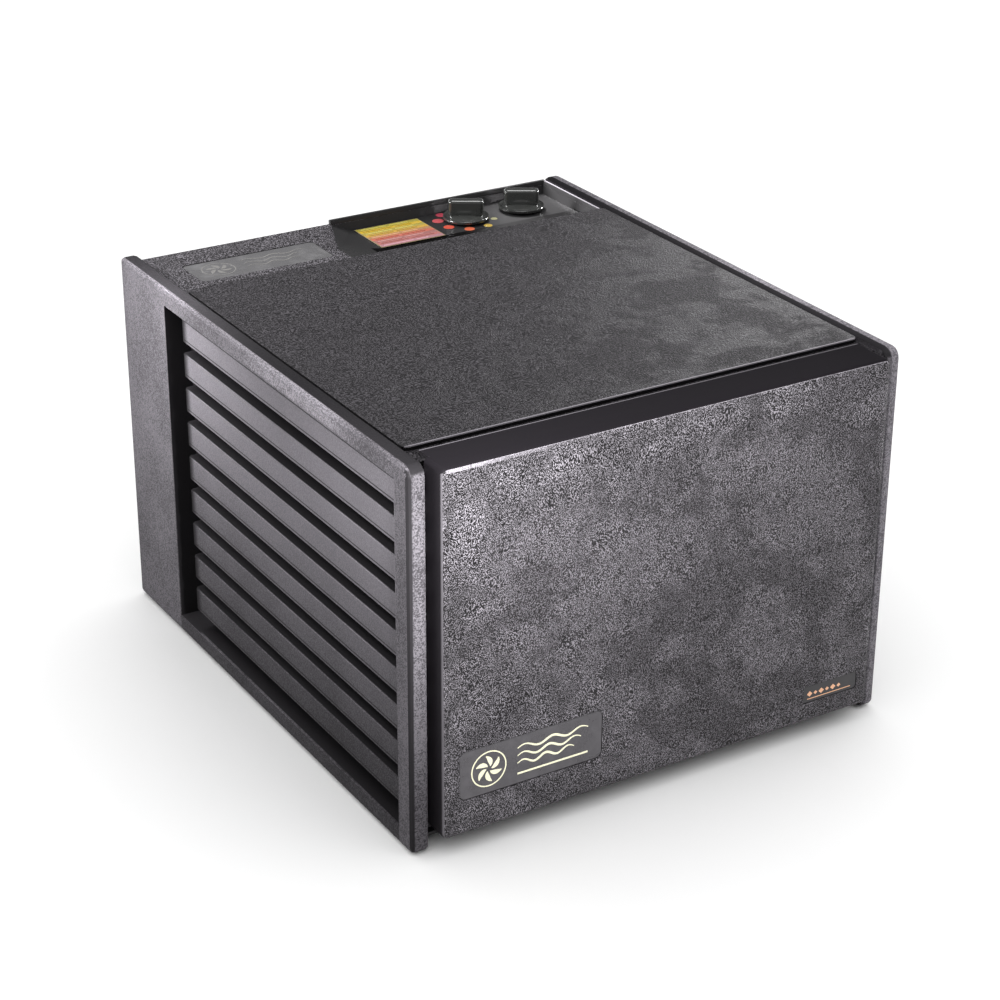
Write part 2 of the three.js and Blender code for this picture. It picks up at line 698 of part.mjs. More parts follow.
place("thermostat_knob", knob(THERMOSTAT_X), FINISH.gloss_black);
place("timer_knob", knob(TIMER_X), FINISH.gloss_black);
place("thermostat_shaft", knobShaft(THERMOSTAT_X), FINISH.brass);
place("timer_shaft", knobShaft(TIMER_X), FINISH.brass);
place("thermostat_body", switchBody(THERMOSTAT_X, 17, 15, 270), FINISH.steel);
place("timer_body", switchBody(TIMER_X, 23, 22, 264), FINISH.phenolic);
place("sensor_bulb", sensorBulb(), FINISH.steel);

place("fan_motor", fanMotor(), FINISH.steel);
place("motor_shaft", motorShaft(), FINISH.steel);
place("fan_blades", fanBlades(), FINISH.tray_black);
place("motor_bracket", motorBracket(), FINISH.steel);
place("heating_element", heatingElement(), FINISH.element);
place("left_insulator", elementInsulator(-1), FINISH.ceramic);
place("right_insulator", elementInsulator(1), FINISH.ceramic);
place("thermal_cutoff", thermalCutoff(), FINISH.phenolic);
place("terminal_block", terminalBlock(), FINISH.phenolic);
place("supply_wire", supplyWire(), FINISH.wire);

for (let k = 1; k <= TRAY.count; k += 1) {
  place(`tray_frame_${k}`, trayFrame(k), FINISH.tray_black);
  place(`tray_screen_${k}`, trayScreen(k), FINISH.screen_white);
}

FOOT_SPOTS.forEach(([x, y], i) => place(`foot_${i + 1}`, foot(x, y), FINISH.rubber));

let screwNumber = 0;
for (const side of [-1, 1]) {
  for (const y of BASE_SCREW_Y) {
    screwNumber += 1;
    const head = BASE.bottom - CLEAR - SCREW.headHeight;
    const body = screw("z", side * SCREW.x, y, head, 1, BASE_SCREW_LENGTH);
    place(`base_screw_${screwNumber}`, body, FINISH.steel);
  }
}
screwNumber = 0;
for (const side of [-1, 1]) {
  for (const z of COVER_SCREW_Z) {
    screwNumber += 1;
    const head = COVER_FRONT + WALL + CLEAR + SCREW.headHeight;
    const body = screw("y", side * SCREW.x, z, head, -1, COVER_SCREW_LENGTH);
    place(`cover_screw_${screwNumber}`, body, FINISH.steel);
  }
}

export default cabinet;
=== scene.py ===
"""Looks of the food dehydrator: finer pieces, procedural materials, soft studio light, camera.

Metres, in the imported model's frame: +X to the right, the door faces -Y, +Z up, floor at z = 0.
"""

import json
import math
import random

import bmesh
import bpy
from mathutils import Matrix, Vector

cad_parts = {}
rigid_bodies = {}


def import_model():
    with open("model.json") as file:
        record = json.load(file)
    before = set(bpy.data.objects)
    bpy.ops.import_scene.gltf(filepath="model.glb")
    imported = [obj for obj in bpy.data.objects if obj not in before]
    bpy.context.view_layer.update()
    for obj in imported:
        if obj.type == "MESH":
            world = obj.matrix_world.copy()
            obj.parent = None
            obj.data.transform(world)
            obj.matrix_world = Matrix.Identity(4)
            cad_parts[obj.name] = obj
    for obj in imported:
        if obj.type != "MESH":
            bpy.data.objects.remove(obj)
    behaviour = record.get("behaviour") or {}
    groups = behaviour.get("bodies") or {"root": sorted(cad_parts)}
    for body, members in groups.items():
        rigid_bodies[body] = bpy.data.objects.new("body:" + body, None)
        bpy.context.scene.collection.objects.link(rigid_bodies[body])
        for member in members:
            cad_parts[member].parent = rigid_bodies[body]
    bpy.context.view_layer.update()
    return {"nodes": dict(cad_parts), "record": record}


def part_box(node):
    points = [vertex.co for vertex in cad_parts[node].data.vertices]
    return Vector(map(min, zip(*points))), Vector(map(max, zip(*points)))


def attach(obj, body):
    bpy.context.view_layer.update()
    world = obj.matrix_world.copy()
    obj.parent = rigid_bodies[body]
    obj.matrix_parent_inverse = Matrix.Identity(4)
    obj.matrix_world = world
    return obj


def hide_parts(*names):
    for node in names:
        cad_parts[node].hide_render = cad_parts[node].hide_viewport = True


MM = 0.001
BAR_FACE = 215 * MM
RECESS_Y = (-219 * MM, 165 * MM)
RECESS_Z = (16 * MM, 302 * MM)
SEAM_SHADOW_Z = (299.1 * MM, 301.3 * MM)
BAR_END = 130 * MM
GROOVE_PITCH = 30.35 * MM
FIRST_BAR_LINE = 283.2 * MM
HIGHLIGHT_STRIP_X = 207.5 * MM
LEFT_BAND_EDGE = 213.2 * MM
FRONT_CORNER_Y = (-232 * MM, -230 * MM)
BAR_LINES_Z = (30 * MM, 290 * MM)
BARS_TOP_Z = (300.9 * MM, 301 * MM)
BARS_SHADE_Z = (20 * MM, 300 * MM)
SHEEN_Y = (-190 * MM, 60 * MM)
SHEEN_FADE = 100 * MM
SHEEN_Z = (301 * MM, 304 * MM)
MASK_EDGE = 0.3 * MM
STRIPE_EDGE = 0.2 * MM
TRAY_COUNT = 9

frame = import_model()


# ---------------------------------------------------------------- camera

CAMERA_PLACE = (-0.9606, -1.5785, 1.0283)
CAMERA_TURN = math.radians(-31.41)
CAMERA_RISE = math.radians(25.64)
CAMERA_ROLL = math.radians(0.313)
CAMERA_LENS = 89.34


def make_camera():
    """A camera at CAMERA_PLACE, seen from the turn and rise round the object, with a slight roll."""
    forward = Vector((
        -math.sin(CAMERA_TURN) * math.cos(CAMERA_RISE),
        math.cos(CAMERA_TURN) * math.cos(CAMERA_RISE),
        -math.sin(CAMERA_RISE),
    ))
    level = Vector((math.cos(CAMERA_TURN), math.sin(CAMERA_TURN), 0))
    upright = level.cross(forward)
    right = math.cos(CAMERA_ROLL) * level + math.sin(CAMERA_ROLL) * upright
    up = math.cos(CAMERA_ROLL) * upright - math.sin(CAMERA_ROLL) * level
    rotation = Matrix((right, up, -forward)).transposed().to_4x4()
    data = bpy.data.cameras.new("photo_camera")
    data.lens = CAMERA_LENS
    data.sensor_width = 36
    data.clip_end = 50
    camera = bpy.data.objects.new("photo_camera", data)
    camera.matrix_world = Matrix.Translation(CAMERA_PLACE) @ rotation
    bpy.context.scene.collection.objects.link(camera)
    bpy.context.scene.camera = camera


make_camera()


# ---------------------------------------------------------------- shader helpers

def new_material(name):
    """A material with one Principled BSDF, returned with its node tree."""
    material = bpy.data.materials.new(name)
    material.use_nodes = True
    tree = material.node_tree
    shader = tree.nodes["Principled BSDF"]
    return material, tree, shader


def node(tree, kind, props=None, **inputs):
    """A shader node with its properties and inputs set; an input may be a socket to link."""
    made = tree.nodes.new("ShaderNode" + kind)
    for key, value in (props or {}).items():
        setattr(made, key, value)
    for key, value in inputs.items():
        connect(tree, made.inputs[key.replace("_", " ")], value)
    return made


def connect(tree, socket, value):
    if isinstance(value, bpy.types.NodeSocket):
        tree.links.new(value, socket)
    else:
        socket.default_value = value


def place_of(tree):
    return node(tree, "TexCoord").outputs["Object"]


def split(tree, vector):
    """The x, y and z of a vector socket."""
    return node(tree, "SeparateXYZ", Vector=vector).outputs[:3]


def normal_of(tree):
    return node(tree, "TexCoord").outputs["Normal"]


def stretched(tree, scale):
    """Object coordinates scaled differently along each axis."""
    return node(tree, "Mapping", Vector=place_of(tree), Scale=scale).outputs["Vector"]


def noise(tree, scale, detail=2.0, rough=0.5, twist=0.0, vector=None):
    made = node(tree, "TexNoise", Scale=scale, Detail=detail, Roughness=rough, Distortion=twist)
    tree.links.new(vector or place_of(tree), made.inputs["Vector"])
    return made.outputs["Fac"]


def maths(tree, operation, a, b=0.0):
    made = tree.nodes.new("ShaderNodeMath")
    made.operation = operation
    connect(tree, made.inputs[0], a)
    connect(tree, made.inputs[1], b)
    return made.outputs[0]


def plus(tree, a, b):
    return maths(tree, "ADD", a, b)


def minus(tree, a, b):
    return maths(tree, "SUBTRACT", a, b)


def times(tree, a, b):
    return maths(tree, "MULTIPLY", a, b)


def larger(tree, a, b):
    return maths(tree, "MAXIMUM", a, b)


def magnitude(tree, a):
    return maths(tree, "ABSOLUTE", a)


def remap(tree, value, low, high, to_low=0.0, to_high=1.0):
    """Smoothly maps low..high to to_low..to_high, and holds the ends."""
    made = node(tree, "MapRange", {"interpolation_type": "SMOOTHSTEP"})
    connect(tree, made.inputs["Value"], value)
    for name, number in (
        ("From Min", low), ("From Max", high), ("To Min", to_low), ("To Max", to_high)
    ):
        connect(tree, made.inputs[name], number)
    return made.outputs["Result"]


def blend_colour(tree, factor, a, b):
    made = tree.nodes.new("ShaderNodeMix")
    made.data_type = "RGBA"
    connect(tree, made.inputs[0], factor)
    connect(tree, made.inputs[6], a)
    connect(tree, made.inputs[7], b)
    return made.outputs[2]


def bump(tree, shader, height, strength, depth):
    """A bump of the given depth in metres."""
    made = node(tree, "Bump", Height=height, Strength=strength, Distance=depth)
    tree.links.new(made.outputs["Normal"], shader.inputs["Normal"])


def rgb(red, green, blue):
    return (red, green, blue, 1.0)


def grey(level, tint=1.0):
    """A dark neutral with a slight purple cast."""
    return rgb(level * (1 + 0.02 * tint), level * (1 - 0.045 * tint), level * (1 + 0.055 * tint))


def scaled(colour, factor):
    """A colour made darker or lighter, held inside the range of real surfaces."""
    return tuple(min(0.95, c * factor) for c in colour[:3]) + (1.0,)


# ---------------------------------------------------------------- materials

def sand_grain(tree, scale):
    """Fine even grains with a little coarser unevenness under them."""
    fine = noise(tree, scale, 1.0, 0.5)
    coarse = noise(tree, scale / 2.6, 1.0, 0.5)
    return plus(tree, times(tree, fine, 0.75), times(tree, coarse, 0.25))


def between(tree, value, low, high, soft):
    """1 where the value lies between low and high, with soft edges inside them."""
    rise = remap(tree, value, low, low + soft)
    fall = remap(tree, value, high - soft, high, 1.0, 0.0)
    return times(tree, rise, fall)


def groove_shade_mask(tree):
    """1 inside the side panels' outer grooves and rear channel, fading in at the bars' rear ends: where shade
    is painted near black.
    """
    x, y, z = split(tree, place_of(tree))
    depth = minus(tree, BAR_FACE, magnitude(tree, x))
    inside = remap(tree, depth, 0.7 * MM, 1.6 * MM)
    flush = remap(tree, depth, -0.7 * MM, -0.3 * MM)
    fading = times(tree, flush, remap(tree, y, BAR_END - 10 * MM, BAR_END + MM))
    sunk = larger(tree, inside, fading)
    deep = between(tree, y, *RECESS_Y, MASK_EDGE)
    tall = between(tree, z, *RECESS_Z, MASK_EDGE)
    return times(tree, sunk, times(tree, deep, tall))


def bar_line_mask(tree):
    """1 on a hairline along each bar above the groove below it, and on a painted shadow line at the step over
    the top bar.
    """
    x, _, z = split(tree, place_of(tree))
    pitches = maths(tree, "DIVIDE", minus(tree, z, FIRST_BAR_LINE), GROOVE_PITCH)
    turns = plus(tree, pitches, 10.5)
    away = magnitude(tree, minus(tree, maths(tree, "FRACT", turns), 0.5))
    line = remap(tree, away, 0.35 * MM / GROOVE_PITCH, 0.75 * MM / GROOVE_PITCH, 1.0, 0.0)
    low_lines = times(tree, line, between(tree, z, *BAR_LINES_Z, MM))
    seam_shadow = between(tree, z, *SEAM_SHADOW_Z, MASK_EDGE)
    depth = magnitude(tree, minus(tree, magnitude(tree, x), BAR_FACE))
    flush = remap(tree, depth, 0.4 * MM, 0.9 * MM, 1.0, 0.0)
    return times(tree, larger(tree, low_lines, seam_shadow), flush)


def smooth_band_mask(tree):
    """1 on the smooth inner band of the side panels' tops, and round their front corners."""
    x, y, _ = split(tree, place_of(tree))
    facing_x, facing_y, facing_z = split(tree, normal_of(tree))
    right = remap(tree, x, 0, MM)
    edge = remap(tree, right, 0, 1, LEFT_BAND_EDGE, HIGHLIGHT_STRIP_X)
    inner = remap(tree, minus(tree, magnitude(tree, x), edge), -0.5 * MM, 0.2 * MM, 1.0, 0.0)
    top = times(tree, inner, remap(tree, facing_z, 0.2, 0.5))
    slant = times(tree, facing_x, facing_y)
    corner = times(tree, remap(tree, slant, 0.1, 0.25), remap(tree, y, *FRONT_CORNER_Y, 1.0, 0.0))
    return larger(tree, top, corner)


def sand_plastic(name, colour, grain=860):
    """Moulded plastic with a fine sand-blasted grain, dull inside its grooves; painted shade blackens the
    grooves and darkens the lower bars, and painted highlights lighten the upper border and the outer top
    strip.
    """
    material, tree, shader = new_material(name)
    grains = sand_grain(tree, grain)
    cloud = noise(tree, 14, 3.0)
    tone = plus(tree, times(tree, grains, 0.7), times(tree, cloud, 0.3))
    _, facing_y, facing_z = split(tree, normal_of(tree))
    # Painted glints: the grain's contrast is spread wider on faces turned to the front or up, where the light
    # falls.
    front_edge = remap(tree, facing_y, -0.8, -0.4, 1.0, 0.0)
    lit_edge = larger(tree, front_edge, remap(tree, facing_z, 0.4, 0.8))
    spread = plus(tree, times(tree, lit_edge, 0.3), 0.7)
    swing = times(tree, minus(tree, remap(tree, tone, 0.38, 0.62), 0.5), spread)
    face = blend_colour(tree, plus(tree, swing, 0.5), scaled(colour, 0.45), scaled(colour, 1.55))
    x, y, z = split(tree, place_of(tree))
    # Painted highlights: a sheen along the upper border of the side panels and a lit strip along the right
    # panel's outer top edge, both in a pale grained colour.
    along = between(tree, y, *SHEEN_Y, SHEEN_FADE)
    border_sheen = times(tree, times(tree, remap(tree, z, *SHEEN_Z), along), 0.6)
    outer_strip_highlight = times(tree, remap(tree, x, HIGHLIGHT_STRIP_X, HIGHLIGHT_STRIP_X + MM, 0.0, 0.4), lit_edge)
    worn = blend_colour(tree, remap(tree, grains, 0.35, 0.65), scaled(colour, 1.8), scaled(colour, 4.6))
    face = blend_colour(tree, larger(tree, border_sheen, outer_strip_highlight), face, worn)
    # Painted shade: the bars between the grooves are painted darker towards the bottom and lighter near the
    # top, as the light falls off.
    beside = between(tree, y, *RECESS_Y, MASK_EDGE)
    bars = times(tree, beside, remap(tree, z, *BARS_TOP_Z, 1.0, 0.0))
    shade = remap(tree, z, *BARS_SHADE_Z)
    shaded_bars = blend_colour(tree, shade, scaled(colour, 0.05), scaled(colour, 1.8))
    face = blend_colour(tree, times(tree, bars, 0.6), face, shaded_bars)
    mask = groove_shade_mask(tree)
    band = smooth_band_mask(tree)
    # The hairlines are dark grooves; the line at the step over the top bar is painted shadow.
    lined = blend_colour(tree, times(tree, bar_line_mask(tree), 0.8), face, grey(0.004))
    banded = blend_colour(tree, band, lined, grey(0.014))
    # Painted shade: the grooves, the rear channel and the bars' rear ends are painted near black.
    connect(tree, shader.inputs["Base Color"], blend_colour(tree, mask, banded, grey(0.008)))
    rough = plus(tree, remap(tree, grains, 0.35, 0.7, 0.66, 0.48), times(tree, mask, 0.4))
    connect(tree, shader.inputs["Roughness"], rough)
    shader.inputs["Specular IOR Level"].default_value = 0.04
    plain = minus(tree, 1.0, larger(tree, band, mask))
    bump(tree, shader, times(tree, grains, plain), 0.8, 0.5 * MM)
    return material


def leather_grain(tree, scale):
    """Height of an embossed leather grain: short wormy wrinkles whose direction wanders."""
    drift = node(tree, "TexNoise", Scale=38.0, Detail=1.0)
    tree.links.new(place_of(tree), drift.inputs["Vector"])
    centred = node(tree, "VectorMath", {"operation": "SUBTRACT"})
    tree.links.new(drift.outputs["Color"], centred.inputs[0])
    centred.inputs[1].default_value = (0.5, 0.5, 0.5)
    moved = node(tree, "VectorMath", {"operation": "MULTIPLY_ADD"})
    tree.links.new(centred.outputs[0], moved.inputs[0])
    moved.inputs[1].default_value = (20 * MM, 20 * MM, 20 * MM)
    tree.links.new(place_of(tree), moved.inputs[2])
    drawn = node(tree, "Mapping", Vector=moved.outputs[0], Scale=(1.0, 0.85, 0.7)).outputs["Vector"]
    worms = noise(tree, scale, 0.0, 0.5, 0.4, drawn)
    pebbles = noise(tree, scale * 0.7, 1.0, 0.5, 0.3)
    return plus(tree, times(tree, worms, 0.7), times(tree, pebbles, 0.3))


def edge_mask(tree, direction, low, high):
    """1 where the surface looks nearly along a direction, as on one rounded edge."""
    facing = node(tree, "VectorMath", {"operation": "DOT_PRODUCT"})
    tree.links.new(normal_of(tree), facing.inputs[0])
    facing.inputs[1].default_value = Vector(direction).normalized()
    return remap(tree, facing.outputs["Value"], low, high)


def leather_plastic(
    name, colour, facing, smooth, relief, tones, clouds, grain, highlight_rims=(), highlight_and_shadow_lines=(), skin_z=None
):
    """A skin embossed with leather grain, in cloudy patches of more and less gloss.

    facing is the direction that the embossed side looks; the other sides are smooth. tones are
    the shares of the colour on the ground and on the wrinkles, whose lighter tops are the grain's
    tone and painted glints; clouds is how far the patches differ, and grain is how fine the wrinkles are.
    rims lists rounded edges with a painted highlight: direction, the facing where it starts and is full,
    its colour, and how far it is broken up. stripes lists painted highlight and shadow lines across the
    upper side: the x, y and z it lies between, and the colour. skin_z limits the grain to a band of heights.
    """
    material, tree, shader = new_material(name)
    height = leather_grain(tree, grain)
    wide = noise(tree, 17, 2.0, 0.55, 0.8)
    small = noise(tree, 42, 3.0, 0.65, 1.0)
    patch = plus(tree, times(tree, wide, 0.65), times(tree, small, 0.35))
    gloss = remap(tree, patch, 0.42, 0.58)
    ridge = remap(tree, height, 0.51, 0.58)
    # The wrinkle tops are lighter than the ground: partly the grain's own tone, mostly painted glints.
    ground, wrinkle_glint = tones
    patches = []
    for share in (1 - clouds, 1 + clouds):
        low, high = scaled(colour, ground * share), scaled(colour, wrinkle_glint * share)
        patches.append(blend_colour(tree, ridge, low, high))
    embossed = blend_colour(tree, gloss, *patches)

    side = node(tree, "VectorMath", {"operation": "DOT_PRODUCT"})
    tree.links.new(normal_of(tree), side.inputs[0])
    side.inputs[1].default_value = facing
    ragged = plus(tree, side.outputs["Value"], times(tree, small, 0.35))
    mask = remap(tree, ragged, 0.62, 0.95)
    place = split(tree, place_of(tree))
    if skin_z:
        mask = times(tree, mask, between(tree, place[2], *skin_z, STRIPE_EDGE))

    colours = blend_colour(tree, mask, smooth, embossed)
    # Painted highlights on rounded edges, broken up by the grain.
    for direction, start, full, pale, broken in highlight_rims:
        uneven = plus(tree, times(tree, height, 0.5), times(tree, small, 0.5))
        gaps = remap(tree, uneven, 0.36, 0.6, 1 - broken, 1.0)
        rim = times(tree, edge_mask(tree, direction, start, full), gaps)
        colours = blend_colour(tree, rim, colours, pale)
    # Painted highlight and painted shadow lines, laid over the skin's colour.
    for *spans, pale in highlight_and_shadow_lines:
        line = 1.0
        for at, (low, high) in zip(place, spans):
            line = times(tree, line, between(tree, at, low, high, STRIPE_EDGE))
        colours = blend_colour(tree, line, colours, pale)
    connect(tree, shader.inputs["Base Color"], colours)
    grain_rough = remap(tree, gloss, 0.0, 1.0, 0.6, 0.44)
    plain = minus(tree, 1.0, mask)
    rough = plus(tree, times(tree, grain_rough, mask), times(tree, plain, 0.4))
    connect(tree, shader.inputs["Roughness"], rough)
    shader.inputs["Specular IOR Level"].default_value = 0.35
    shader.inputs["Specular Tint"].default_value = rgb(1.0, 0.95, 1.0)
    bump(tree, shader, times(tree, height, mask), relief, 0.7 * MM)
    return material


def satin_plastic(name, colour, roughness, spots=0.04):
    """Smooth plastic with very faint unevenness and a trace of dust."""
    material, tree, shader = new_material(name)
    film = noise(tree, 60, 4.0, 0.6)
    lighter = tuple(c * 1.35 + 0.002 for c in colour[:3]) + (1.0,)
    tone = blend_colour(tree, remap(tree, film, 0.4, 0.75), colour, lighter)
    connect(tree, shader.inputs["Base Color"], tone)
    span = (roughness - spots, roughness + spots)
    connect(tree, shader.inputs["Roughness"], remap(tree, film, 0.35, 0.65, *span))
    bump(tree, shader, noise(tree, 420, 3.0), 0.12, 0.12 * MM)
    return material


def gloss_plastic(name, colour):
    """Polished plastic with faint smudges and hairline marks in its gloss."""
    material, tree, shader = new_material(name)
    smudge = noise(tree, 95, 3.0, 0.55, 0.5)
    hair = noise(tree, 1.0, 2.0, 0.5, 0.0, stretched(tree, (260, 2600, 900)))
    marks = plus(tree, times(tree, smudge, 0.6), times(tree, hair, 0.4))
    warm = tuple(c * 1.4 for c in colour[:3]) + (1.0,)
    connect(tree, shader.inputs["Base Color"], blend_colour(tree, smudge, colour, warm))
    connect(tree, shader.inputs["Roughness"], remap(tree, marks, 0.35, 0.7, 0.1, 0.24))
    shader.inputs["Specular IOR Level"].default_value = 0.7
    shader.inputs["Coat Weight"].default_value = 0.4
    shader.inputs["Coat Roughness"].default_value = 0.06
    return material


def printed(name, colour, fade=0.12, roughness=0.42):
    """Ink or foil on a label, with slight unevenness of the print."""
    material, tree, shader = new_material(name)
    worn = noise(tree, 900, 3.0, 0.6)
    pale = tuple(min(1.0, c * (1 - fade) + fade * 0.35) for c in colour[:3]) + (1.0,)
    connect(tree, shader.inputs["Base Color"], blend_colour(tree, remap(tree, worn, 0.4, 0.7), colour, pale))
    connect(tree, shader.inputs["Roughness"], remap(tree, worn, 0.3, 0.7, roughness - 0.06, roughness + 0.08))
    return material


def foil(name, colour):
    """Metallic foil print."""
    material, tree, shader = new_material(name)
    worn = noise(tree, 700, 3.0, 0.6)
    deep = tuple(c * 0.7 for c in colour[:3]) + (1.0,)
    connect(tree, shader.inputs["Base Color"], blend_colour(tree, worn, colour, deep))
    connect(tree, shader.inputs["Roughness"], remap(tree, worn, 0.3, 0.7, 0.28, 0.45))
    shader.inputs["Metallic"].default_value = 0.55
    return material


def brushed_metal(name, colour, stretch, roughness=0.3):
    """Metal with fine lines along its rolling direction and darker clouds."""
    material, tree, shader = new_material(name)
    lines = noise(tree, 1.0, 4.0, 0.6, 0.0, stretched(tree, stretch))
    cloud = noise(tree, 40, 3.0)
    deep = tuple(c * 0.55 for c in colour[:3]) + (1.0,)
    tone = blend_colour(tree, times(tree, lines, cloud), deep, colour)
    connect(tree, shader.inputs["Base Color"], tone)
    shader.inputs["Metallic"].default_value = 1.0
    span = (roughness - 0.08, roughness + 0.14)
    connect(tree, shader.inputs["Roughness"], remap(tree, lines, 0.3, 0.7, *span))
    bump(tree, shader, lines, 0.15, 0.05 * MM)
    return material


def rubber(name):
    material, tree, shader = new_material(name)
    powder = noise(tree, 1200, 3.0, 0.7)
    connect(tree, shader.inputs["Base Color"], blend_colour(tree, powder, grey(0.01), grey(0.03)))
    connect(tree, shader.inputs["Roughness"], remap(tree, powder, 0.3, 0.7, 0.7, 0.9))
    bump(tree, shader, powder, 0.4, 0.1 * MM)
    return material


def ceramic(name):
    material, tree, shader = new_material(name)
    specks = remap(tree, noise(tree, 900, 2.0), 0.3, 0.42)
    connect(tree, shader.inputs["Base Color"],
            blend_colour(tree, specks, rgb(0.45, 0.4, 0.33), rgb(0.8, 0.77, 0.7)))
    connect(tree, shader.inputs["Roughness"], remap(tree, noise(tree, 120), 0.3, 0.7, 0.35, 0.55))
    bump(tree, shader, noise(tree, 500, 3.0), 0.2, 0.1 * MM)
    return material


def phenolic(name):
    material, tree, shader = new_material(name)
    marble = noise(tree, 130, 4.0, 0.6, 2.0)
    veins = remap(tree, marble, 0.35, 0.65)
    tone = blend_colour(tree, veins, rgb(0.02, 0.014, 0.01), rgb(0.06, 0.04, 0.028))
    connect(tree, shader.inputs["Base Color"], tone)
    connect(tree, shader.inputs["Roughness"], remap(tree, marble, 0.3, 0.7, 0.35, 0.55))
    return material


def braided_sleeve(name):
    """Pale heat-resistant sleeve with a fine crossing braid."""
    material, tree, shader = new_material(name)
    one = node(tree, "TexWave", {"bands_direction": "DIAGONAL"}, Scale=520.0)
    tree.links.new(place_of(tree), one.inputs["Vector"])
    two = node(tree, "TexWave", {"bands_direction": "Z"}, Scale=640.0)
    tree.links.new(place_of(tree), two.inputs["Vector"])
    braid = times(tree, one.outputs["Fac"], two.outputs["Fac"])
    connect(tree, shader.inputs["Base Color"],
            blend_colour(tree, braid, rgb(0.4, 0.37, 0.32), rgb(0.68, 0.64, 0.57)))
    shader.inputs["Roughness"].default_value = 0.65
    bump(tree, shader, braid, 0.5, 0.2 * MM)
    return material


def mesh_plastic(name):
    """Natural white polypropylene strands, slightly translucent looking."""
    material, tree, shader = new_material(name)
    film = noise(tree, 45, 3.0)
    connect(tree, shader.inputs["Base Color"],
            blend_colour(tree, remap(tree, film, 0.4, 0.7), rgb(0.74, 0.73, 0.69), rgb(0.6, 0.59, 0.53)))
    connect(tree, shader.inputs["Roughness"], remap(tree, noise(tree, 300), 0.3, 0.7, 0.32, 0.5))
    bump(tree, shader, noise(tree, 900, 2.0), 0.2, 0.08 * MM)
    return material


ACROSS = (-300 * MM, 300 * MM)
# A painted highlight line along the top panel's front edge.
TOP_EDGE_HIGHLIGHT = [(ACROSS, (-205.2 * MM, -202.8 * MM), (314.2 * MM, 316 * MM), grey(0.2))]
LOOKS = {
    "moulded": sand_plastic("sand_grain_plastic", grey(0.062)),
    "leather_grain": leather_plastic(
        "leather_top", grey(0.026), facing=(0, 0, 1), smooth=grey(0.004), relief=0.8, tones=(0.5, 2.2),
        clouds=0.1, grain=900, highlight_and_shadow_lines=TOP_EDGE_HIGHLIGHT,
    ),
    "satin_black": satin_plastic("satin_black_plastic", grey(0.014), 0.38),
    "gloss_black": gloss_plastic("polished_black_plastic", grey(0.022, -0.4)),
    "plate_grey": satin_plastic("name_plate_grey", grey(0.05), 0.3),
    "copper_print": satin_plastic("small_plate_dark", grey(0.022), 0.32),
    "chart": printed("chart_ground", rgb(0.6, 0.45, 0.18)),
    "tray_black": satin_plastic("tray_polypropylene", grey(0.016), 0.42),
    "screen_white": mesh_plastic("mesh_sheet_plastic"),
    "rubber": rubber("black_rubber"),
    "steel": brushed_metal("zinc_steel", rgb(0.62, 0.63, 0.65), (900, 60, 60)),
    "element": brushed_metal("heated_sheath", rgb(0.24, 0.17, 0.13), (400, 80, 400), 0.42),
    "ceramic": ceramic("cream_ceramic"),
    "phenolic": phenolic("brown_phenolic"),
    "brass": brushed_metal("turned_brass", rgb(0.62, 0.43, 0.17), (60, 60, 1200), 0.28),
    "wire": braided_sleeve("wire_sleeve"),
}
# Painted highlights on the door's rounded top edge and on its rounded left edge.
DOOR_HIGHLIGHT_RIMS = [
    ((0, -1, 0.55), 0.975, 0.998, grey(0.19), 0.5),
    ((-1, -0.7, 0), 0.85, 0.95, grey(0.09), 0.1),
]
# A painted highlight line along the rear edge of the door's top flange.
FLANGE_EDGE_HIGHLIGHT = [(ACROSS, (-214.2 * MM, -213 * MM), (314.6 * MM, 316 * MM), grey(0.09))]
# A painted shadow band on the pit floor just behind the top panel's rear edge, and a painted highlight stripe
# along the top of the pit's right wall.
DECK_SHADOW_AND_HIGHLIGHT = [
    (ACROSS, (150 * MM, 192 * MM), (300 * MM, 303.5 * MM), grey(0.001)),
    ((198.9 * MM, 202 * MM), (156 * MM, 247 * MM), (308 * MM, 314 * MM), grey(0.3)),
]
DOOR_SKIN = leather_plastic(
    "leather_door", grey(0.038), facing=(0, -1, 0), smooth=rgb(0.006, 0.0052, 0.0064), relief=1.0,
    tones=(0.0, 4.3), clouds=0.26, grain=1600, highlight_rims=DOOR_HIGHLIGHT_RIMS, highlight_and_shadow_lines=FLANGE_EDGE_HIGHLIGHT,
)
DECK_SKIN = leather_plastic(
    "leather_deck", grey(0.045), facing=(0, 0, 1), smooth=grey(0.022, 0.2), relief=0.8, tones=(0.3, 2.8),
    clouds=0.14, grain=900, highlight_and_shadow_lines=DECK_SHADOW_AND_HIGHLIGHT, skin_z=(308.7 * MM, 310 * MM),
)
DECK_PLATE = satin_plastic("deck_plate_grey", grey(0.1, 0.3), 0.3)


def paint(thing, material):
    thing.data.materials.clear()
    thing.data.materials.append(material)


def paint_frame():
    """Every CAD node takes the look of its own material slot in the record."""
    for part in frame["record"]["subparts"]:
        paint(frame["nodes"][part["node"]], LOOKS[part["material_slot"]])
    paint(frame["nodes"]["door_shell"], DOOR_SKIN)
    paint(frame["nodes"]["deck_badge"], DECK_PLATE)
    paint(frame["nodes"]["control_housing"], DECK_SKIN)


# ---------------------------------------------------------------- mesh helpers

def make_piece(name, mesh_data, body, material, replaced=()):
    """A piece that rides on a body, painted with the given material; the CAD nodes it stands for are hidden.
    """
    piece = bpy.data.objects.new(name, mesh_data)
    bpy.context.scene.collection.objects.link(piece)
    paint(piece, material)
    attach(piece, body)
    if replaced:
        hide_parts(*replaced)
    return piece


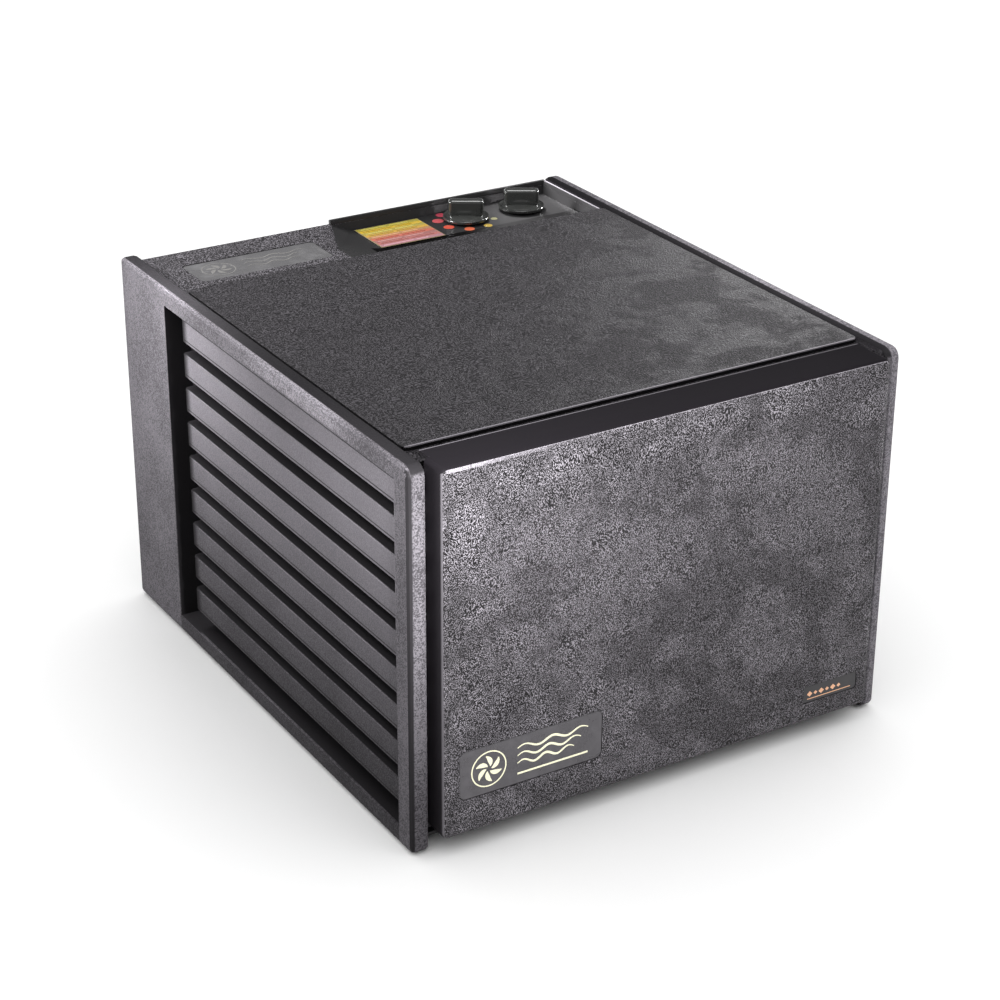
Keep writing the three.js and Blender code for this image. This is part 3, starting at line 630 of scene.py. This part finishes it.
def finished(name, mesh, smooth=True):
    """Turns a bmesh into mesh data, with its faces pointing out."""
    bmesh.ops.recalc_face_normals(mesh, faces=mesh.faces)
    data = bpy.data.meshes.new(name)
    mesh.to_mesh(data)
    mesh.free()
    if smooth:
        data.polygons.foreach_set("use_smooth", [True] * len(data.polygons))
    return data


def soften(piece, width, segments=3, angle=30):
    """Rounds a piece's edges and keeps its flat faces flat."""
    bevel = piece.modifiers.new("soft_edges", "BEVEL")
    bevel.width = width
    bevel.segments = segments
    bevel.limit_method = "ANGLE"
    bevel.angle_limit = math.radians(angle)
    bevel.harden_normals = False
    even = piece.modifiers.new("even_shading", "WEIGHTED_NORMAL")
    even.keep_sharp = False
    even.weight = 90


def refine(name, width, segments=3, angle=25):
    """Joins a CAD node's corners, rounds its edges and evens its shading."""
    thing = frame["nodes"][name]
    thing.data.polygons.foreach_set("use_smooth", [True] * len(thing.data.polygons))
    weld = thing.modifiers.new("weld", "WELD")
    weld.merge_threshold = 0.01 * MM
    soften(thing, width, segments, angle)


def add_box(mesh, low, high):
    """Adds a box between two corners."""
    made = bmesh.ops.create_cube(mesh, size=1.0)["verts"]
    size = Vector(high) - Vector(low)
    middle = (Vector(low) + Vector(high)) / 2
    for vert in made:
        vert.co = Vector(vert.co[i] * size[i] + middle[i] for i in range(3))


def add_rings(mesh, rings):
    """Joins rings of equal point counts into a skin, capped at both ends."""
    loops = [[mesh.verts.new(point) for point in ring] for ring in rings]
    count = len(loops[0])
    for lower, upper in zip(loops, loops[1:]):
        for i in range(count):
            j = (i + 1) % count
            mesh.faces.new((lower[i], lower[j], upper[j], upper[i]))
    mesh.faces.new(list(reversed(loops[0])))
    mesh.faces.new(loops[-1])
    return loops


def circle(radius, height, count=64, centre=(0, 0)):
    step = 2 * math.pi / count
    return [
        (centre[0] + radius * math.cos(i * step), centre[1] + radius * math.sin(i * step), height)
        for i in range(count)
    ]


def rounded_outline(half_x, half_y, corner, steps=8):
    """Points of a rounded rectangle about the origin, anticlockwise."""
    points = []
    for quarter, (sx, sy) in enumerate(((1, 1), (-1, 1), (-1, -1), (1, -1))):
        for i in range(steps + 1):
            angle = math.radians(90) * (quarter + i / steps)
            points.append((
                sx * (half_x - corner) + corner * math.cos(angle),
                sy * (half_y - corner) + corner * math.sin(angle),
            ))
    return points


def ribbon(mesh, points, widths, lift, to_world):
    """A flat raised stroke along points in a plane, with a width at each point."""
    left, right = [], []
    last = len(points) - 1
    for i, (u, v) in enumerate(points):
        before, after = points[max(i - 1, 0)], points[min(i + 1, last)]
        along = Vector((after[0] - before[0], after[1] - before[1])).normalized()
        side = Vector((-along.y, along.x)) * widths[i] / 2
        left.append((u + side.x, v + side.y))
        right.append((u - side.x, v - side.y))
    rings = []
    for (lu, lv), (ru, rv) in zip(left, right):
        corners = ((lu, lv, 0), (ru, rv, 0), (ru, rv, lift), (lu, lv, lift))
        rings.append([to_world(*corner) for corner in corners])
    add_rings(mesh, rings)


# ---------------------------------------------------------------- knobs

KNOB_TURN = math.radians(-31)


def knob_mesh(name, centre, bottom, top):
    """A skirt disc with an upturned rim, and a tall grip bar with rounded ends and top."""
    mesh = bmesh.new()
    skirt = [
        (0.4, 0.0), (19.4, 0.0), (20.1, 0.25), (20.5, 0.9), (20.5, 2.3), (20.3, 2.75), (19.9, 2.9),
        (19.4, 2.75), (18.9, 2.2), (18.2, 1.9), (17.0, 2.0), (15.5, 2.6), (13.5, 3.3), (10.0, 3.8),
        (0.4, 4.0),
    ]
    rings = [circle(r * MM, bottom + h * MM) for r, h in skirt]
    add_rings(mesh, rings)
    height = top - bottom
    fillet = 2.6 * MM
    profile = [(1.2 * MM, 0.8 * MM), (3.2 * MM, 0.4 * MM), (5.0 * MM, 0.1 * MM), (7.0 * MM, 0.0)]
    for i in range(9):
        angle = math.radians(90) * i / 8
        profile.append((height - fillet + fillet * math.sin(angle), fillet * (1 - math.cos(angle))))
    grip = []
    for level, inset in profile:
        half_x, half_y = 15.6 * MM - inset, 5.0 * MM - inset
        corner = min(max(0.6 * MM, 3.2 * MM - inset * 0.6), half_y * 0.98)
        outline = rounded_outline(half_x, half_y, corner)
        grip.append([(x, y, bottom + level) for x, y in outline])
    loops = add_rings(mesh, grip)
    turn = Matrix.Rotation(KNOB_TURN, 3, "Z")
    for loop in loops:
        for vert in loop:
            vert.co = turn @ vert.co
    for vert in mesh.verts:
        vert.co += Vector((centre[0], centre[1], 0))
    return finished(name, mesh)


def make_knobs():
    for dial in ("thermostat", "timer"):
        low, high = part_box(f"{dial}_knob")
        centre = ((low.x + high.x) / 2, (low.y + high.y) / 2)
        data = knob_mesh(f"{dial}_grip", centre, low.z, high.z)
        piece = make_piece(f"{dial}_grip", data, f"{dial}_dial", LOOKS["gloss_black"],
                           [f"{dial}_knob"])
        even = piece.modifiers.new("even_shading", "WEIGHTED_NORMAL")
        even.weight = 60


# ---------------------------------------------------------------- chart and dial marks

BANDS = [
    ("band_1", rgb(0.34, 0.29, 0.03)), ("band_2", rgb(0.5, 0.33, 0.01)), ("band_3", rgb(0.3, 0.24, 0.03)),
    ("band_4", rgb(0.44, 0.26, 0.03)), ("band_5", rgb(0.32, 0.15, 0.06)), ("band_6", rgb(0.42, 0.1, 0.06)),
    ("band_7", rgb(0.26, 0.1, 0.09)), ("band_8", rgb(0.34, 0.11, 0.1)), ("band_9", rgb(0.3, 0.14, 0.16)),
]


def make_chart():
    """The printed chart left of the knobs: coloured rows with plain bars in place of words."""
    low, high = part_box("control_label")
    sheet = bmesh.new()
    add_box(sheet, (low.x, low.y, low.z), (high.x, high.y, high.z - 0.1 * MM))
    ground = make_piece("chart_sheet", finished("chart_sheet", sheet, False), "cabinet",
                        printed("chart_edge", rgb(0.2, 0.16, 0.08)), ["control_label"])
    soften(ground, 0.15 * MM, 2)
    margin = 0.8 * MM
    depth = (high.y - low.y - 2 * margin) / len(BANDS)
    chance = random.Random(11)
    for row, (name, colour) in enumerate(BANDS):
        rear = high.y - margin - row * depth
        mesh = bmesh.new()
        add_box(mesh, (low.x + margin, rear - depth + 0.1 * MM, high.z - 0.2 * MM),
                (high.x - margin, rear - 0.1 * MM, high.z))
        make_piece(f"chart_{name}", finished(name, mesh, False), "cabinet",
                   printed(name, colour, 0.2))
        marks = bmesh.new()
        start = low.x + 4 * MM
        split = low.x + chance.uniform(30, 36) * MM
        end = high.x - chance.uniform(6, 16) * MM
        for left, right in ((start, split - 3 * MM), (split, end)):
            add_box(marks, (left, rear - 0.66 * depth, high.z - 0.1 * MM),
                    (right, rear - 0.36 * depth, high.z + 0.08 * MM))
        if row % 2 == 0:
            tone = tuple(min(1.0, c * 1.5 + 0.05) for c in colour[:3])
        else:
            tone = tuple(c * 0.6 for c in colour[:3])
        data = finished(f"chart_bars_{row + 1}", marks, False)
        make_piece(f"chart_bars_{row + 1}", data, "cabinet",
                   printed(f"bars_{row + 1}", tone + (1.0,), 0.1))


DIAL_DOTS = [
    (122, 4.8, rgb(0.4, 0.04, 0.07)), (159, 5.2, rgb(0.42, 0.06, 0.07)), (203, 4.8, rgb(0.5, 0.06, 0.03)),
    (247, 4.5, rgb(0.5, 0.1, 0.04)), (291, 3.8, rgb(0.5, 0.34, 0.05)), (335, 3.0, rgb(0.45, 0.43, 0.24)),
]
DOT_RING = 25 * MM


def make_dial_dots():
    """Coloured heat marks on the pit floor round the thermostat knob, large and red to small and pale."""
    low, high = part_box("thermostat_knob")
    middle = (low + high) / 2
    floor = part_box("control_label")[0].z
    for number, (angle, radius, colour) in enumerate(DIAL_DOTS, 1):
        turn = math.radians(angle)
        centre = (middle.x + DOT_RING * math.cos(turn), middle.y + DOT_RING * math.sin(turn))
        mesh = bmesh.new()
        rings = [
            circle(radius * MM, floor - 0.25 * MM, 40, centre),
            circle(radius * MM, floor - 0.08 * MM, 40, centre),
            circle((radius - 0.12) * MM, floor + 0.02 * MM, 40, centre),
        ]
        add_rings(mesh, rings)
        make_piece(f"heat_mark_{number}", finished(f"heat_mark_{number}", mesh, False), "cabinet",
                   printed(f"heat_mark_{number}", colour, 0.08))


# ---------------------------------------------------------------- plates and their emblems

EMBLEM_LIFT = 0.12 * MM
EMBLEM_SINK = 0.02 * MM


def wave_line(u_from, u_to, v, swing, turns, count=44):
    """A wavy line that rises to the right, as warm air drawn in one stroke."""
    points = []
    for i in range(count):
        share = i / (count - 1)
        u = u_from + (u_to - u_from) * share
        points.append((u, v + swing * math.sin(2 * math.pi * turns * share)))
    return points


def tapered(count, width, thin=0.35):
    """Stroke widths that swell in the middle."""
    return [width * (thin + (1 - thin) * math.sin(math.pi * i / (count - 1))) for i in range(count)]


def add_fan_sign(mesh, centre, radius, to_world, lift):
    """A ring round a six-petal fan."""
    count = 60
    ring = []
    for i in range(count + 1):
        angle = 2 * math.pi * i / count
        ring.append((centre[0] + radius * math.cos(angle), centre[1] + radius * math.sin(angle)))
    ribbon(mesh, ring, [0.07 * radius] * (count + 1), lift, to_world)
    for petal in range(6):
        base = 2 * math.pi * petal / 6
        path = []
        for i in range(14):
            share = i / 13
            angle = base + 0.75 * share
            reach = radius * (0.16 + 0.62 * share)
            path.append((centre[0] + reach * math.cos(angle), centre[1] + reach * math.sin(angle)))
        ribbon(mesh, path, tapered(14, 0.26 * radius, 0.15), lift, to_world)


def door_plane(u, v, lift, face):
    return Vector((u, face - lift, v))


def deck_plane(u, v, lift, face):
    return Vector((u, v, face + lift))


def on_face(plane, face):
    """A function that lifts flat coordinates off a plate's face."""
    def place(u, v, lift):
        return plane(u, v, lift, face)
    return place


def add_warm_air(mesh, left, bottom, width, tall, rows, stroke, to_world):
    """Three wavy lines one under another: rows holds the first one's height and the step down."""
    first, step = rows
    for row in range(3):
        line = wave_line(left + 0.4 * width, left + (0.9 - 0.05 * row) * width,
                         bottom + (first - step * row) * tall, 0.05 * tall, 2.5)
        ribbon(mesh, line, tapered(len(line), stroke), EMBLEM_LIFT, to_world)


def make_door_emblem():
    cream = printed("cream_print", rgb(0.72, 0.7, 0.5), 0.1, 0.35)
    low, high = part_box("door_badge")
    width, tall = high.x - low.x, high.z - low.z
    to_world = on_face(door_plane, low.y + EMBLEM_SINK)
    mesh = bmesh.new()
    add_fan_sign(mesh, (low.x + 0.2 * width, low.z + 0.5 * tall), 0.36 * tall, to_world, EMBLEM_LIFT)
    add_warm_air(mesh, low.x, low.z, width, tall, (0.74, 0.16), 1.9 * MM, to_world)
    bar = [(low.x + 0.4 * width, low.z + 0.2 * tall), (low.x + 0.9 * width, low.z + 0.2 * tall)]
    ribbon(mesh, bar, [1.5 * MM] * 2, EMBLEM_LIFT, to_world)
    make_piece("door_emblem", finished("door_emblem", mesh, False), "door", cream)


def make_small_emblem():
    """A row of lozenges, large and small in turn, over a line."""
    low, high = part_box("door_small_badge")
    width, tall = high.x - low.x, high.z - low.z
    to_world = on_face(door_plane, low.y + EMBLEM_SINK)
    mesh = bmesh.new()
    middle = low.z + 0.5 * tall
    for i in range(6):
        u = low.x + (0.12 + 0.11 * i) * width
        size = tall * (0.34 if i % 2 == 0 else 0.24)
        lozenge = [(u - size / 2, middle), (u, middle), (u + size / 2, middle)]
        ribbon(mesh, lozenge, [0.1 * size, size, 0.1 * size], EMBLEM_LIFT, to_world)
    line = [(low.x + 0.08 * width, low.z + 0.2 * tall), (low.x + 0.9 * width, low.z + 0.2 * tall)]
    ribbon(mesh, line, [0.7 * MM] * 2, EMBLEM_LIFT, to_world)
    make_piece("door_small_emblem", finished("door_small_emblem", mesh, False), "door",
               foil("copper_foil", rgb(0.9, 0.52, 0.32)))


def make_deck_emblem():
    low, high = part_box("deck_badge")
    width, tall = high.x - low.x, high.y - low.y
    to_world = on_face(deck_plane, high.z - EMBLEM_SINK)
    mesh = bmesh.new()
    add_fan_sign(mesh, (low.x + 0.2 * width, low.y + 0.5 * tall), 0.34 * tall, to_world, EMBLEM_LIFT)
    add_warm_air(mesh, low.x, low.y, width, tall, (0.72, 0.18), 1.7 * MM, to_world)
    make_piece("deck_emblem", finished("deck_emblem", mesh, False), "cabinet",
               printed("deck_print", rgb(0.16, 0.155, 0.15), 0.1, 0.35))


def make_emblems():
    """Generic signs on the three plates: a fan with warm air, and a row of lozenges."""
    make_door_emblem()
    make_small_emblem()
    make_deck_emblem()


# ---------------------------------------------------------------- trays

def tray_grid_mesh(name, low, high):
    """A moulded tray: a rounded rim and a grid of thin bars with a stiffer cross in the middle."""
    mesh = bmesh.new()
    rim = 9 * MM
    middle = (low + high) / 2
    floor_top = low.z + 3 * MM
    add_box(mesh, low, (high.x, low.y + rim, high.z))
    add_box(mesh, (low.x, high.y - rim, low.z), high)
    add_box(mesh, (low.x, low.y + rim, low.z), (low.x + rim, high.y - rim, high.z))
    add_box(mesh, (high.x - rim, low.y + rim, low.z), (high.x, high.y - rim, high.z))
    cells_across = 20
    for axis in (0, 1):
        span = (high[axis] - low[axis] - 2 * rim) / cells_across
        for i in range(1, cells_across):
            stiff = i % 5 == 0
            half = (1.6 if stiff else 0.9) * MM
            at = low[axis] + rim + i * span
            base = low.z + (0.0 if stiff else 0.6 * MM) + (0.25 * MM if axis else 0)
            a = [low.x + rim - MM, low.y + rim - MM, base]
            b = [high.x - rim + MM, high.y - rim + MM, floor_top - (0.2 * MM if axis else 0)]
            a[axis], b[axis] = at - half, at + half
            add_box(mesh, a, b)
    add_box(mesh, (middle.x - 22 * MM, low.y, low.z + 1.2 * MM),
            (middle.x + 22 * MM, low.y + 2 * MM, high.z))
    return finished(name, mesh, False)


def screen_mesh(name, low, high):
    """A net of fine strands crossing at right angles, inside a hemmed edge."""
    mesh = bmesh.new()
    pitch = 4.2 * MM
    half = 0.55 * MM
    hem = 2.5 * MM
    depth = (high.z - low.z) / 2
    for axis in (0, 1):
        length = high[axis] - low[axis] - 2 * hem
        count = int(length / pitch)
        for i in range(1, count):
            at = low[axis] + hem + length * i / count
            a, b = list(low), list(high)
            a[axis], b[axis] = at - half, at + half
            a[2] = low.z + (depth * 0.8 if axis else 0)
            b[2] = a[2] + depth * 1.1
            add_box(mesh, a, b)
    add_box(mesh, low, (high.x, low.y + hem, high.z))
    add_box(mesh, (low.x, high.y - hem, low.z), high)
    add_box(mesh, (low.x, low.y + hem, low.z), (low.x + hem, high.y - hem, high.z))
    add_box(mesh, (high.x - hem, low.y + hem, low.z), (high.x, high.y - hem, high.z))
    return finished(name, mesh, False)


def make_trays():
    for k in range(1, TRAY_COUNT + 1):
        low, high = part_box(f"tray_frame_{k}")
        data = tray_grid_mesh(f"tray_grid_{k}", low, high)
        grid = make_piece(f"tray_grid_{k}", data, f"tray_{k}", LOOKS["tray_black"],
                          [f"tray_frame_{k}"])
        soften(grid, 0.4 * MM, 2)
        low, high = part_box(f"tray_screen_{k}")
        data = screen_mesh(f"tray_net_{k}", low, high)
        make_piece(f"tray_net_{k}", data, f"tray_{k}", LOOKS["screen_white"],
                   [f"tray_screen_{k}"])


# ---------------------------------------------------------------- stage

def area_light(name, place, target, size, spread, power, lit):
    """A soft panel at place, facing target, that lights the pieces in the lit collection."""
    data = bpy.data.lights.new(name, "AREA")
    data.shape = "RECTANGLE"
    data.size, data.size_y = size
    data.energy = power
    data.spread = math.radians(spread)
    light = bpy.data.objects.new(name, data)
    light.location = place
    light.rotation_euler = (Vector(target) - Vector(place)).to_track_quat("-Z", "Y").to_euler()
    light.visible_camera = False
    bpy.context.scene.collection.objects.link(light)
    light.light_linking.receiver_collection = lit


PANEL_LIGHTS = {
    "side": [
        ("side_front", (-0.45, -0.10, 0.50), (-0.216, -0.10, 0.25), (0.1, 0.3), 90, 0.39),
        ("side_wide", (-1.2, -0.2, 0.5), (-0.216, 0.0, 0.15), (0.5, 0.5), 60, 0.1),
        ("side_near", (-0.30, 0.15, 0.42), (-0.216, 0.15, 0.25), (0.05, 0.3), 120, 1.3),
        ("side_rear", (-0.50, 0.30, 0.50), (-0.216, 0.22, 0.27), (0.2, 0.2), 80, 0.55),
        ("side_corner", (-0.36, -0.24, 0.45), (-0.216, -0.20, 0.27), (0.08, 0.08), 60, 0.1),
        ("side_edge", (-0.24, -0.60, 0.42), (-0.209, -0.238, 0.24), (0.06, 0.12), 40, 0.6),
    ],
    "door": [
        ("door_corner", (-0.30, -0.42, 0.46), (-0.17, -0.25, 0.27), (0.12, 0.12), 90, 1.15),
        ("door_top", (0.0, -0.33, 0.40), (0.0, -0.25, 0.26), (0.42, 0.04), 120, 0.46),
    ],
    "top": [
        ("top_right", (1.0, 0.6, 0.7), (0.15, 0.1, 0.31), (0.5, 0.5), 70, 0.38),
        ("top_rear", (-0.6, 0.7, 0.6), (-0.1, 0.1, 0.31), (0.3, 0.3), 70, 1.87),
        ("top_far", (0.62, 0.45, 0.52), (0.19, 0.08, 0.315), (0.25, 0.25), 60, 0.06),
    ],
    "pit": [
        ("deck_rear", (-0.6, 0.7, 0.6), (-0.1, 0.1, 0.31), (0.3, 0.3), 70, 2.6),
        ("pit_end", (0.17, 0.30, 0.42), (0.185, 0.21, 0.304), (0.05, 0.05), 60, 0.08),
    ],
    "edge": [
        ("right_edge", (0.5, -0.3, 0.8), (0.213, -0.05, 0.312), (0.2, 0.2), 50, 0.5),
        ("right_front", (0.1, -0.9, 0.4), (0.213, -0.238, 0.2), (0.1, 0.2), 40, 0.15),
    ],
    "knobs": [
        ("knob_over", (0.13, 0.20, 0.75), (0.13, 0.22, 0.31), (0.25, 0.25), 120, 0.6),
        ("knob_left", (-0.35, 0.35, 0.45), (0.13, 0.22, 0.315), (0.1, 0.1), 60, 0.5),
        ("knob_right", (0.60, 0.25, 0.45), (0.13, 0.22, 0.315), (0.1, 0.1), 60, 0.5),
    ],
}


def lit_group(piece):
    """The name of the panel lights that reach a piece."""
    if piece.name.startswith("door_"):
        return "door"
    return {
        "left_side_panel": "side", "right_side_panel": "edge", "control_housing": "pit",
        "thermostat_grip": "knobs", "timer_grip": "knobs",
    }.get(piece.name, "top")


def make_lights():
    """A wide overhead sky for the floor and object, and panels that each light one side."""
    sky = bpy.data.lights.new("overhead", "SUN")
    sky.energy = 4.15
    sky.angle = math.radians(130)
    sun = bpy.data.objects.new("overhead", sky)
    sun.visible_glossy = False
    bpy.context.scene.collection.objects.link(sun)
    groups = {name: bpy.data.collections.new(f"lit_from_{name}") for name in PANEL_LIGHTS}
    for piece in bpy.data.objects:
        if piece.type == "MESH" and piece.name != "floor":
            groups[lit_group(piece)].objects.link(piece)
    for group, panels in PANEL_LIGHTS.items():
        for panel in panels:
            area_light(*panel, groups[group])


def make_world():
    """Pale surroundings at the horizon, dark above it so that the top stays dark."""
    world = bpy.data.worlds.new("studio")
    bpy.context.scene.world = world
    world.use_nodes = True
    tree = world.node_tree
    background = tree.nodes["Background"]
    direction = node(tree, "TexCoord").outputs["Generated"]
    height = node(tree, "SeparateXYZ", Vector=direction).outputs["Z"]
    rise = remap(tree, height, 0.05, 0.2)
    tone = blend_colour(tree, rise, rgb(0.9, 0.9, 0.9), rgb(0.03, 0.03, 0.032))
    connect(tree, background.inputs["Color"], tone)
    background.inputs["Strength"].default_value = 1.0


def make_floor():
    mesh = bmesh.new()
    bmesh.ops.create_grid(mesh, x_segments=2, y_segments=2, size=14)
    data = finished("floor", mesh, False)
    floor = bpy.data.objects.new("floor", data)
    bpy.context.scene.collection.objects.link(floor)
    material, tree, shader = new_material("pale_floor")
    soft = noise(tree, 3, 2.0)
    tone = blend_colour(tree, soft, rgb(0.93, 0.93, 0.93), rgb(0.96, 0.96, 0.955))
    connect(tree, shader.inputs["Base Color"], tone)
    shader.inputs["Roughness"].default_value = 0.35
    shader.inputs["Specular IOR Level"].default_value = 0.3
    paint(floor, material)


# ---------------------------------------------------------------- the object

EDGE_WIDTHS = {
    "left_side_panel": 0.7, "right_side_panel": 0.7, "top_panel": 0.8, "door_shell": 0.7,
    "control_housing": 0.6, "rear_cover": 0.5, "fan_baffle": 0.5, "base_panel": 0.4, "door_badge": 0.12,
    "door_small_badge": 0.12, "deck_badge": 0.12, "fan_blades": 0.3, "motor_bracket": 0.2,
    "terminal_block": 0.3, "thermal_cutoff": 0.4, "thermostat_body": 0.5, "timer_body": 0.5,
    "left_insulator": 0.4, "right_insulator": 0.4, "cord_gland": 0.4,
}


def refine_frame():
    for name, width in EDGE_WIDTHS.items():
        refine(name, width * MM)


def set_view():
    settings = bpy.context.scene.view_settings
    settings.view_transform = "Standard"
    settings.look = "None"


paint_frame()
refine_frame()
make_knobs()
make_chart()
make_dial_dots()
make_emblems()
make_trays()
make_floor()
make_world()
make_lights()
set_view()
